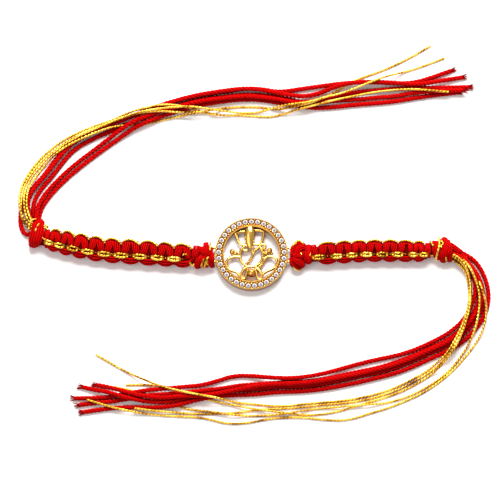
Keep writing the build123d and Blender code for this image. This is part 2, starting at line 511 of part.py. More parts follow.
        (32.5, -44.2, 0.3), (28.1, -45.7, 0.3), (24, -46.3, 0.3), (19.6, -46, 0.3), (13.4, -45.3, 0.3),
        (7.3, -45.5, 0.3), (2.9, -46.1, 0.3), (-0.7, -46.9, 0.3), (-6.3, -47.3, 0.3), (-12.5, -45.6, 0.3),
        (-16.9, -45.2, 0.3), (-22.3, -45, 0.3), (-28.4, -44.5, 0.3), (-34.7, -43.6, 1.55),
        (-40.1, -42.3, 1.55), (-45.2, -40.6, 1.55),
    )),
)
for name, diameter, route in strands:
    radii = bend_radii(route)
    with BuildPart() as strand:
        with BuildLine() as middle:
            FilletPolyline(*route, radius=radii)
        with BuildSketch(Plane(middle.line @ 0, z_dir=middle.line % 0)):
            Circle(diameter / 2)
        sweep()
    print(name, "length", round(middle.wire().length, 1), "arc radii", [round(radius, 1) for radius in radii])
    export_piece(strand.part, name)
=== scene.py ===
# The looks of the rakhi thread bracelet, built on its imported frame. The metal and the stones keep their
# solids, and the cotton and the gold thread are drawn as strands. Lengths are in metres, and the tables of
# points and knots are in millimetres.
import math
import random

import bpy
from mathutils import Matrix, Vector


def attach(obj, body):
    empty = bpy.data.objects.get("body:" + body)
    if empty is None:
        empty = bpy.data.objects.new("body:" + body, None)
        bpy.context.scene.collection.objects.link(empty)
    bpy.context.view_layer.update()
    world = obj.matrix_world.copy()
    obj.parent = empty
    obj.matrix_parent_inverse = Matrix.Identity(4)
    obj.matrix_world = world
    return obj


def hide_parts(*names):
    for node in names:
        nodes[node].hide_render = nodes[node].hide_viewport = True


MM = 0.001
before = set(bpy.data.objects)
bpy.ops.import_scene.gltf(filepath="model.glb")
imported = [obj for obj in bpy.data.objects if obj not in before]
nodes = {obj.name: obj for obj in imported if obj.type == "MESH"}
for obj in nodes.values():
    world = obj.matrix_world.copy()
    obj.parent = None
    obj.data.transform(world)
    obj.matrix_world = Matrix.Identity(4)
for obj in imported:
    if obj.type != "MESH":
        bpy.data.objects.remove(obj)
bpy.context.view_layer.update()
random.seed(7)

# Sizes that follow the part's source, with the two radii between which the stones lie in their channel
band_height = 4.2 * MM
band_middle = band_height / 2
face_height = 2.3 * MM
channel_inside = 8.1 * MM
channel_outside = 9.7 * MM

# The drawn cords, a little thicker than the part's, the steps of their lines and the yarn's twisted plies
yarn_diameter = 1.36 * MM
thread_diameter = 0.62 * MM
yarn_step = 0.35 * MM
thread_step = 0.3 * MM
ply_count = 3
ply_share = 0.265
yarn_pitch = 3.2 * MM

# Loose fibres on the yarns and at their cut ends
fuzz_per_metre = 1600
fuzz_radius = 0.018 * MM
fray_count = 26
fray_radius = 0.075 * MM

# Radii of what is drawn at bands and knots: red strands, gold threads, and the cores under the strands, dark
# red in painted shade
strand_radius = 0.27 * MM
turn_radius = 0.36 * MM
gold_radius = 0.27 * MM
pair_radius = 0.31 * MM
bead_radius = 0.1 * MM
band_core_radius = 0.28 * band_height
knot_core_radius = 1.6 * MM

# Camera: the photo looks down at 78 degrees from the near side, a pixel being 0.274 mm
pixel = 0.274 * MM
picture_width = 500
camera_elevation = math.radians(78)
camera_distance = 0.6
looks_at = Vector((-0.4 * MM, 1.1 * MM, 2.2 * MM))
camera_data = bpy.data.cameras.new("camera")
camera_data.type = "ORTHO"
camera_data.ortho_scale = picture_width * pixel
camera_data.clip_start = 0.01
camera_data.clip_end = 5
camera = bpy.data.objects.new("camera", camera_data)
bpy.context.scene.collection.objects.link(camera)
toward = Vector((0, -math.cos(camera_elevation), math.sin(camera_elevation)))
camera.location = looks_at + camera_distance * toward
camera.rotation_euler = (math.pi / 2 - camera_elevation, 0, 0)
bpy.context.scene.camera = camera


# Materials
def new_material(name):
    """A material with its tree of nodes and its principled shader."""
    material = bpy.data.materials.new(name)
    material.use_nodes = True
    tree = material.node_tree
    return material, tree, tree.nodes["Principled BSDF"]


def calculated(tree, operation, *values, clamp=False):
    """The math node of that name on its values, each a number or another node's output."""
    node = tree.nodes.new("ShaderNodeMath")
    node.operation = operation
    node.use_clamp = clamp
    for socket, value in zip(node.inputs, values):
        if isinstance(value, float):
            socket.default_value = value
        else:
            tree.links.new(value, socket)
    return node.outputs[0]


def axes(tree, vector):
    """The X, Y and Z of a vector."""
    node = tree.nodes.new("ShaderNodeSeparateXYZ")
    tree.links.new(vector, node.inputs[0])
    return node.outputs


def stripes(tree, turns_per_metre, starts):
    """A value from -1 to 1 that winds round a tube: its U runs along in metres and its V once around."""
    uv = tree.nodes.new("ShaderNodeUVMap")
    uv.uv_map = "tube"
    along, around, _ = axes(tree, uv.outputs[0])
    run = calculated(tree, "MULTIPLY", along, turns_per_metre * 2 * math.pi)
    wind = calculated(tree, "MULTIPLY_ADD", around, starts * 2 * math.pi, run)
    return calculated(tree, "SINE", wind)


def upward(tree, normal):
    """How far the surface's Normal or True Normal points up, from -1 to 1."""
    geometry = tree.nodes.new("ShaderNodeNewGeometry")
    return axes(tree, geometry.outputs[normal])[2]


def shelter(tree, reach):
    """How open a place is to its surroundings, 0 in a deep hollow and 1 on a free side, for painted shade."""
    node = tree.nodes.new("ShaderNodeAmbientOcclusion")
    node.samples = 6
    node.inputs["Distance"].default_value = reach
    return node.outputs["AO"]


def span(tree, value, low, high):
    """0 at low, 1 at high and even in between."""
    node = tree.nodes.new("ShaderNodeMapRange")
    node.inputs["From Min"].default_value = low
    node.inputs["From Max"].default_value = high
    tree.links.new(value, node.inputs["Value"])
    return node.outputs[0]


def noise(tree, scale, detail):
    """A noise value in the object's own space."""
    place = tree.nodes.new("ShaderNodeTexCoord")
    node = tree.nodes.new("ShaderNodeTexNoise")
    node.inputs["Scale"].default_value = scale
    node.inputs["Detail"].default_value = detail
    tree.links.new(place.outputs["Object"], node.inputs["Vector"])
    return node.outputs["Fac"]


def colour_ramp(tree, value, stops):
    """Colours by value; each stop is a place and a linear colour."""
    ramp = tree.nodes.new("ShaderNodeValToRGB")
    elements = ramp.color_ramp.elements
    while len(elements) < len(stops):
        elements.new(0.5)
    for element, (place, colour) in zip(elements, stops):
        element.position = place
        element.color = (*colour, 1)
    tree.links.new(value, ramp.inputs[0])
    return ramp.outputs[0]


def tinted(tree, share, low, high):
    """The low colour where the share is 0 and the high one where it is 1."""
    return colour_ramp(tree, share, ((0.0, low), (1.0, high)))


# The colour sockets of a Mix node, found by number as their names are used more than once
mix_low, mix_high, mix_result = 6, 7, 2


def mixed(tree, share, low, high):
    """The low colour where the share is 0 and the high output where it is 1."""
    node = tree.nodes.new("ShaderNodeMix")
    node.data_type = "RGBA"
    tree.links.new(share, node.inputs["Factor"])
    node.inputs[mix_low].default_value = (*low, 1)
    tree.links.new(high, node.inputs[mix_high])
    return node.outputs[mix_result]


def bump(tree, shader, height, distance, strength):
    """Bumps the shader by the height value."""
    node = tree.nodes.new("ShaderNodeBump")
    node.inputs["Strength"].default_value = strength
    node.inputs["Distance"].default_value = distance
    tree.links.new(height, node.inputs["Height"])
    tree.links.new(node.outputs[0], shader.inputs["Normal"])


def cotton(name, bright, dark, groove_shade):
    """Cotton with fine fibres that wind round each strand, and painted shade in the grooves between strands.
    """
    material, tree, shader = new_material(name)
    fibres = stripes(tree, turns_per_metre=900, starts=5)
    blend = calculated(tree, "MULTIPLY_ADD", fibres, 0.25, noise(tree, scale=1400, detail=4))
    colour = colour_ramp(tree, blend, ((0.2, dark), (0.65, bright)))
    # Painted shade: the colour turns to the groove shade where the place is hemmed in
    lit_share = span(tree, shelter(tree, 0.5 * MM), 0.3, 0.95)
    tree.links.new(mixed(tree, lit_share, groove_shade, colour), shader.inputs["Base Color"])
    shader.inputs["Roughness"].default_value = 0.8
    shader.inputs["Specular IOR Level"].default_value = 0.04
    bump(tree, shader, blend, distance=0.08 * MM, strength=0.8)
    return material


def metallic_thread():
    """Gold foil wound round a core: turns with darker gaps, and patches of painted highlight and shade."""
    material, tree, shader = new_material("gold_thread")
    turns = stripes(tree, turns_per_metre=1000, starts=1)
    # The noise gives patches of painted highlight and shade along the foil
    blend = calculated(tree, "MULTIPLY_ADD", turns, 0.07, noise(tree, scale=260, detail=3))
    stops = ((0.3, (0.2, 0.07, 0.002)), (0.47, (0.72, 0.36, 0.02)), (0.66, (1.0, 0.68, 0.1)))
    tree.links.new(colour_ramp(tree, blend, stops), shader.inputs["Base Color"])
    shader.inputs["Metallic"].default_value = 0.85
    shader.inputs["Roughness"].default_value = 0.28
    bump(tree, shader, turns, distance=0.06 * MM, strength=0.9)
    return material


def gilt_metal():
    """Gold plate with painted light: bright where it faces up and lies open, painted deep orange shade on its
    sides, in hollows and in the channel of the stones.
    """
    material, tree, shader = new_material("gilt_metal")
    lit_from_above = span(tree, upward(tree, "Normal"), 0.1, 0.85)
    place = tree.nodes.new("ShaderNodeTexCoord")
    x, y, height = axes(tree, place.outputs["Object"])
    flat = tree.nodes.new("ShaderNodeCombineXYZ")
    tree.links.new(x, flat.inputs[0])
    tree.links.new(y, flat.inputs[1])
    reach = tree.nodes.new("ShaderNodeVectorMath")
    reach.operation = "LENGTH"
    tree.links.new(flat.outputs[0], reach.inputs[0])
    from_middle = reach.outputs["Value"]
    edge = 0.06 * MM
    # The stones' channel, within its two radii and below the face, stays in painted shade
    inside = span(tree, from_middle, channel_inside + edge, channel_inside)
    outside = span(tree, from_middle, channel_outside - edge, channel_outside)
    above = span(tree, height, face_height + 0.03 * MM, face_height + 0.12 * MM)
    beside = calculated(tree, "ADD", inside, outside, clamp=True)
    free = calculated(tree, "ADD", beside, above, clamp=True)
    bright = calculated(tree, "MULTIPLY", lit_from_above, free, clamp=True)
    lit_share = span(tree, shelter(tree, 0.6 * MM), 0.2, 0.8)
    bright = calculated(tree, "MULTIPLY", bright, lit_share, clamp=True)
    # Painted light in bright gold and painted shade in deep orange
    colour = tinted(tree, bright, (0.38, 0.13, 0.012), (1.0, 0.62, 0.14))
    tree.links.new(colour, shader.inputs["Base Color"])
    shader.inputs["Metallic"].default_value = 1.0
    shader.inputs["Roughness"].default_value = 0.2
    bump(tree, shader, noise(tree, scale=700, detail=3), distance=0.05 * MM, strength=0.35)
    return material


def clear_stone():
    """Clear stone: its facets painted bright as highlight, its flat table painted a darker grey as shade."""
    material, tree, shader = new_material("clear_stone")
    # Painted highlight on the facets and painted shade on the table that faces up
    table = span(tree, upward(tree, "True Normal"), 0.9, 0.98)
    colour = tinted(tree, table, (0.95, 0.97, 1.0), (0.2, 0.2, 0.23))
    tree.links.new(colour, shader.inputs["Base Color"])
    shader.inputs["Roughness"].default_value = 0.05
    shader.inputs["IOR"].default_value = 1.7
    shader.inputs["Transmission Weight"].default_value = 0.25
    return material


# The groove colours and the darker core cotton are painted shade
red_cotton = cotton("red_cotton", bright=(0.54, 0.0, 0.0), dark=(0.28, 0.0, 0.0), groove_shade=(0.05, 0.0, 0.0))
shaded_red_core = cotton("shaded_red_core", bright=(0.16, 0.0, 0.0), dark=(0.06, 0.0, 0.0), groove_shade=(0.03, 0.0, 0.0))
gold_thread = metallic_thread()
gilt = gilt_metal()
crystal = clear_stone()
band_materials = [red_cotton, shaded_red_core, gold_thread]
red_slot, shaded_core_slot, gold_slot = 0, 1, 2

for name, node in nodes.items():
    if name == "medallion":
        node.data.materials[0] = gilt
    if name.startswith("stone_"):
        node.data.materials[0] = crystal


# Lines and tubes: every yarn, ply and fibre is a tube along a line of points
def smooth_line(points):
    """The points of a smooth line through the route's corners."""
    curve = bpy.data.curves.new("route", "CURVE")
    curve.dimensions = "3D"
    spline = curve.splines.new("NURBS")
    spline.points.add(len(points) - 1)
    for place, point in zip(spline.points, points):
        place.co = (*point, 1)
    spline.order_u = 3
    spline.use_endpoint_u = True
    spline.resolution_u = 12
    holder = bpy.data.objects.new("route", curve)
    bpy.context.scene.collection.objects.link(holder)
    bpy.context.view_layer.update()
    line = bpy.data.meshes.new_from_object(holder)
    places = [vertex.co.copy() for vertex in line.vertices]
    bpy.data.objects.remove(holder)
    bpy.data.curves.remove(curve)
    bpy.data.meshes.remove(line)
    return places


def even_steps(points, step):
    """The same line with points at even steps along it."""
    out = [points[0].copy()]
    left = step
    for a, b in zip(points, points[1:]):
        length = (b - a).length
        done = 0.0
        while length - done >= left:
            done += left
            out.append(a.lerp(b, done / length))
            left = step
        left -= length - done
    if (out[-1] - points[-1]).length > 0.3 * step:
        out.append(points[-1].copy())
    return out


def runs(points):
    """How far along the line each of its points lies."""
    out = [0.0]
    for a, b in zip(points, points[1:]):
        out.append(out[-1] + (b - a).length)
    return out


def line_length(points):
    """The length of a line of points."""
    return runs(points)[-1]


def frames(points):
    """Each point with its direction and two sides that do not roll."""
    last = len(points) - 1
    normal = None
    out = []
    for i, point in enumerate(points):
        ahead = (points[min(i + 1, last)] - points[max(i - 1, 0)]).normalized()
        if normal is None:
            normal = ahead.orthogonal().normalized()
        normal = (normal - ahead * normal.dot(ahead)).normalized()
        out.append((point, ahead, normal, ahead.cross(normal)))
    return out


class Strands:
    """Collects tubes into one mesh, each with U in metres along it and V once around it."""

    def __init__(self):
        self.places = []
        self.faces = []
        self.coordinates = []
        self.slots = []

    def tube(self, points, radius, sides=7, slot=red_slot):
        """A tube through the points, closed with flat ends."""
        first = len(self.places)
        for point, _, normal, side in frames(points):
            for k in range(sides):
                angle = 2 * math.pi * k / sides
                offset = math.cos(angle) * normal + math.sin(angle) * side
                self.places.append(point + radius * offset)
        lengths = runs(points)
        for i, (low, high) in enumerate(zip(lengths, lengths[1:])):
            for k in range(sides):
                a = first + i * sides + k
                b = first + i * sides + (k + 1) % sides
                self.faces.append((a, b, b + sides, a + sides))
                near, far = k / sides, (k + 1) / sides
                self.coordinates += [(low, near), (low, far), (high, far), (high, near)]
                self.slots.append(slot)
        for ring, turn in ((first, -1), (len(self.places) - sides, 1)):
            self.faces.append(tuple([ring + k for k in range(sides)][::turn]))
            self.coordinates += [(lengths[-1], k / sides) for k in range(sides)]
            self.slots.append(slot)

    def build(self, name, materials):
        """Makes the object."""
        mesh = bpy.data.meshes.new(name)
        mesh.from_pydata([tuple(p) for p in self.places], [], self.faces)
        for material in materials:
            mesh.materials.append(material)
        layer = mesh.uv_layers.new(name="tube")
        flat = [value for pair in self.coordinates for value in pair]
        layer.data.foreach_set("uv", flat)
        mesh.polygons.foreach_set("material_index", self.slots)
        mesh.polygons.foreach_set("use_smooth", [True] * len(self.faces))
        mesh.update()
        obj = bpy.data.objects.new(name, mesh)
        bpy.context.scene.collection.objects.link(obj)
        return obj


# Yarn
def add_twisted(strands, points, diameter, phase):
    """Plies of yarn twisted round each other along the line."""
    ply_radius = ply_share * diameter
    offset = diameter / 2 - ply_radius
    placed = list(zip(runs(points), frames(points)))
    for ply in range(ply_count):
        line = []
        for run, (point, _, one, two) in placed:
            angle = 2 * math.pi * (run / yarn_pitch + ply / ply_count) + phase
            line.append(point + offset * (math.cos(angle) * one + math.sin(angle) * two))
        strands.tube(line, ply_radius)


def add_fuzz(strands, points, diameter):
    """Fine fibres that stand off a yarn."""
    placed = frames(points)
    for _ in range(int(fuzz_per_metre * line_length(points))):
        point, ahead, one, two = random.choice(placed)
        angle = random.uniform(0, 2 * math.pi)
        out = math.cos(angle) * one + math.sin(angle) * two
        start = point + 0.42 * diameter * out
        lean = random.choice((-1, 1)) * ahead
        reach = random.uniform(0.3, 0.9) * MM
        middle = start + 0.5 * reach * (out * 0.7 + lean)
        end = middle + 0.5 * reach * (out * random.uniform(-0.2, 0.8) + lean + 0.3 * two)
        if min(middle.z, end.z) > 0.05 * MM:
            strands.tube([start, middle, end], fuzz_radius, sides=3)


def add_fray(strands, points, diameter):
    """The cut end of a yarn, its fibres spread out."""
    end = points[-1]
    ahead = (points[-1] - points[-4]).normalized()
    up = Vector((0, 0, 1))
    side = ahead.cross(up).normalized()
    for _ in range(fray_count):
        spread = random.uniform(-1, 1)
        rise = random.uniform(-0.35, 0.5)
        start = end - 1.2 * MM * ahead + 0.3 * diameter * spread * side
        middle = end + 0.38 * diameter * spread * side + 0.3 * diameter * rise * up
        reach = random.uniform(0.5, 1.5) * MM
        tip = middle + reach * (ahead + 0.35 * spread * side)
        tip.z = max(tip.z, 0.08 * MM)
        middle.z = max(middle.z, 0.1 * MM)
        strands.tube([start, middle, tip], fray_radius, sides=4)


# Loose cord ends: the same route points as in the part's source
yarn_routes = {
    "left_yarn_1": (
        (-60.7, 10.2, 1.55), (-61.3, 13.2, 1.4), (-61.1, 16, 1.75), (-59.2, 19, 1.8), (-56.3, 22.2, 1.8),
        (-53.3, 26.3, 1.75), (-50.3, 30, 1.7), (-46.6, 32.7, 1.75), (-41.9, 34.9, 1.85), (-36.4, 37.2, 1.9),
        (-30.7, 39.6, 1.9), (-25.1, 41.7, 1.9), (-19.6, 43.4, 1.9), (-13.8, 44.8, 1.9), (-7.5, 45.8, 1.9),
        (-1.8, 46.5, 1.9), (2.9, 46.1, 1.85), (7, 45.2, 1.8), (10.8, 44.5, 1.6), (14.7, 44.3, 1.2),
        (18.5, 45.2, 0.6), (21.8, 46.5, 1.9), (25.3, 47.5, 2.75), (30.3, 48.2, 2.45), (36.6, 48.2, 1.95),
        (42.1, 47.7, 1.95), (46.2, 47.6, 1.7), (51.9, 48.7, 1.25), (57.7, 49.8, 0.6),
    ),
    "left_yarn_2": (
        (-59.8, 10.2, 0.6), (-59.9, 13.2, 0.6), (-59.3, 15.8, 0.6), (-57.5, 18.7, 0.6), (-54.6, 22, 0.6),
        (-51.9, 25.7, 0.6), (-49.2, 29, 0.6), (-45.8, 31.4, 0.6), (-41.2, 33.6, 0.6), (-36.1, 35.8, 0.6),
        (-30.6, 38, 0.6), (-25.1, 40.3, 0.6), (-19.6, 42.1, 0.6), (-13.8, 43.6, 0.6), (-7.5, 44.3, 0.6),
        (-2.3, 45, 0.6), (2.3, 44.9, 0.6), (7, 44.2, 0.6), (10.5, 43.6, 0.6), (13.8, 42.8, 0.6),
        (17.1, 43, 0.6), (21, 44.1, 0.6), (25.3, 45, 0.6), (29.7, 45.7, 0.6), (34.7, 46.2, 0.6),
        (39.6, 46.6, 0.6), (44.5, 46.8, 0.6), (49.5, 46.8, 0.6), (54.7, 46.9, 0.6), (59.6, 47.1, 0.6),
    ),
    "left_yarn_3": (
        (-58.3, 10.2, 0.6), (-57.5, 13.2, 0.6), (-56.2, 15.3, 0.6), (-53.8, 18.3, 0.6), (-50.1, 22, 0.6),
        (-45.9, 25.5, 0.6), (-41.2, 29.1, 0.6), (-36.6, 32.4, 0.6), (-32.2, 35.5, 1.5), (-27.8, 37.5, 1.8),
        (-23.7, 39.1, 1.2), (-19.6, 40.5, 0.6), (-14.9, 41.9, 0.6), (-9.5, 42.8, 0.95), (-3.7, 43.5, 0.95),
        (1.8, 43.6, 0.6), (7, 42.8, 0.6), (10.8, 42.2, 0.6), (14.1, 41.5, 0.6), (17.7, 41.2, 0.6),
        (22.3, 41.4, 0.6), (28.1, 42.1, 0.6), (33.6, 42.5, 0.6), (39, 43, 0.6), (44.5, 44, 0.6),
        (50.6, 44.9, 0.6), (56.9, 45.6, 0.6),
    ),
    "left_yarn_4": (
        (-59, 10.2, 1.7), (-58.6, 13.3, 1.55), (-57.3, 15.9, 1.3), (-54.9, 19, 0.95), (-51.2, 22.9, 0.65),
        (-46.9, 26.6, 0.6), (-42.2, 30.1, 0.6), (-37.7, 33.5, 1.6), (-33.3, 36.6, 2.8), (-28.6, 38.7, 2.4),
        (-24.2, 40.3, 2), (-19.6, 41.5, 1.75), (-14.1, 42.9, 2), (-8.1, 43.6, 2.1), (-1.8, 44.3, 2.1),
        (3.7, 43.9, 1.8), (8.6, 43.2, 1.8), (12.7, 42.2, 1.8), (16.3, 42, 1.75), (20.1, 42.7, 1.45),
        (24.5, 43.3, 1), (29.2, 43.6, 0.6), (34.1, 44.1, 0.6), (39, 44.4, 0.6), (44, 45.3, 1.2),
        (48.9, 45.7, 1.55), (53.6, 45.9, 1.85), (58, 45.9, 1.85),
    ),
    "left_yarn_5": (
        (-61.7, 5.5, 0.6), (-62.8, 6.9, 0.6), (-63.4, 9.1, 0.6), (-63.1, 12.5, 0.6), (-62.1, 15.8, 0.6),
        (-59.7, 19.1, 0.6), (-56.7, 22.5, 0.6), (-53.8, 26.6, 0.6), (-50.8, 30.4, 0.6), (-47, 33.3, 0.6),
        (-42.3, 35.2, 0.6), (-36.6, 37.5, 0.6), (-30.8, 39.6, 0.6), (-25.1, 41.9, 0.6), (-19.6, 43.5, 0.6),
        (-13.8, 44.9, 0.6), (-7.5, 45.7, 0.6), (-1.8, 46.7, 0.6), (3.2, 46.5, 0.6), (7.5, 45.6, 0.6),
        (12.7, 46.4, 0.6), (19.3, 47.3, 0.9), (25.9, 48.1, 1.4), (33, 48.5, 0.9), (39.3, 48.1, 0.6),
        (44.5, 48.2, 0.6), (50, 49.9, 0.6), (54.8, 51.7, 0.6),
    ),
    "right_yarn_1": (
        (55.8, 1.1, 2.1), (58.1, -0.7, 2.1), (60, -3.2, 2), (61.1, -6.2, 1.9), (61.5, -10.8, 1.85),
        (60, -15.1, 1), (57.6, -19, 1.2), (54.1, -21.9, 0.95), (51.1, -23.6, 0.9), (47.5, -25.4, 0.9),
        (43.7, -27, 0.8), (39.6, -28.2, 0.6), (35.2, -29.1, 0.6), (30.8, -30.1, 0.6), (26.2, -31.4, 0.6),
        (21.2, -33, 1.4), (16.3, -34.2, 1.85), (10.8, -34.8, 1.95), (5.3, -34.6, 1.95), (0.1, -33.8, 0.6),
        (-5, -33.8, 0.6), (-10, -35.5, 0.6), (-14.1, -36.6, 0.9), (-19, -37.1, 1.3), (-24.2, -37.6, 1.35),
        (-28.9, -38, 1.3), (-33.3, -38.7, 1), (-38.2, -39.7, 0.6), (-43.2, -40.1, 0.6), (-48.4, -40.1, 0.6),
    ),
    "right_yarn_2": (
        (55.6, -1, 1.45), (57.4, -2.2, 1.2), (59, -4, 0.6), (61.3, -7.2, 0.6), (62.4, -10.9, 0.6),
        (62.2, -13.3, 0.6), (60.7, -16.6, 0.6), (58.1, -20.1, 0.6), (55.6, -22.5, 0.6), (52.4, -24.5, 0.6),
        (48.5, -26.2, 0.6), (44.1, -28.3, 0.6), (39.5, -30.1, 0.6), (34.7, -31.6, 0.6), (29.7, -32.6, 0.6),
        (24.5, -33.8, 0.6), (18.8, -35, 1.1), (13.3, -35.7, 1.25), (7.5, -35.8, 1.25), (1.8, -36.3, 1.15),
        (-3.2, -36.6, 1.25), (-8.1, -37.7, 2), (-13.3, -38.3, 2.3), (-18.5, -38.8, 1.6), (-23.7, -39.1, 1.3),
        (-28.6, -39.4, 1.3), (-33.6, -40.2, 0.6), (-38.2, -41, 0.6), (-42.9, -41.4, 0.6), (-47.3, -42, 0.6),
    ),
    "right_yarn_3": (
        (55.6, 0.4, 1), (57.8, -0.8, 0.85), (60, -2.6, 0.6), (62.5, -6.3, 0.6), (63.7, -10.8, 0.6),
        (63.3, -15, 0.6), (61.1, -18.6, 0.6), (59, -21.3, 0.6), (56.3, -23.8, 0.6), (52.9, -25.8, 0.6),
        (48.9, -27.5, 0.6), (44.5, -29.6, 0.6), (39.8, -31.5, 0.6), (34.9, -32.9, 0.6), (30, -33.9, 0.6),
        (24.8, -35.1, 0.6), (19, -36.3, 0.6), (13.3, -36.9, 0.6), (7.3, -36.9, 0.6), (1.5, -37.7, 0.6),
        (-3.7, -37.8, 0.6), (-9.5, -38.1, 0.6), (-14.9, -39.3, 1.25), (-19.9, -40.8, 1.3),
        (-24.5, -41.4, 1.3), (-28.6, -41.2, 1.4), (-34.3, -40.3, 2.3), (-39.6, -38.5, 1.8),
        (-42.9, -37.8, 0.7), (-46.4, -36.9, 0.6),
    ),
    "right_yarn_4": (
        (55.6, 1.8, 0.6), (58.2, 0.4, 0.6), (61, -1.3, 0.6), (62.9, -3.9, 0.6), (64.3, -7.1, 0.6),
        (65, -10.6, 0.6), (64.8, -14, 0.6), (63.2, -18.4, 0.6), (60, -22.4, 0.6), (56.9, -25.1, 0.6),
        (53.3, -27.1, 0.6), (49.2, -28.9, 0.6), (44.8, -31, 0.6), (40.1, -32.9, 0.6), (35.2, -34.2, 0.6),
        (30.3, -35.4, 0.6), (25.1, -36.5, 0.6), (19.3, -37.6, 0.6), (13.3, -38.2, 0.6), (7.3, -38.3, 0.6),
        (1.5, -39, 0.6), (-3.7, -39.2, 0.6), (-9.5, -39.5, 1.15), (-15.2, -40.7, 1.3), (-20.7, -42.3, 1.3),
        (-25.9, -42.8, 1), (-31.6, -42.6, 0.6), (-36.6, -42.7, 0.6), (-41.2, -43.2, 0.6), (-46.2, -44, 0.6),
    ),
    "right_yarn_5": (
        (55.8, -0.3, 3), (58.1, -1.6, 3.3), (59.9, -3.4, 3.3), (62.1, -6.9, 3.2), (63.1, -10.9, 1.95),
        (62.7, -14.7, 1.65), (60.4, -18.1, 1.7), (58.4, -20.7, 1.7), (55.9, -23.1, 1.7), (52.6, -25.2, 1.7),
        (48.6, -26.9, 1.7), (44.3, -29, 1.7), (39.6, -30.8, 1.7), (34.7, -32.2, 1.7), (29.7, -33.4, 1.75),
        (24.5, -34.5, 1.95), (18.8, -35.6, 2.3), (13.3, -36.3, 2.35), (7.3, -36.4, 2.35), (1.5, -36.9, 2.3),
        (-3.7, -38, 2.5), (-9.5, -39.1, 2.25), (-14.7, -39.8, 2.5), (-19.3, -39.8, 2.5), (-23.7, -40.3, 2.05),
        (-28.1, -40.1, 2.5), (-32.2, -39.3, 2.4), (-36, -38.1, 1.95), (-39.3, -37, 1), (-42.6, -36.3, 0.6),
    ),
}
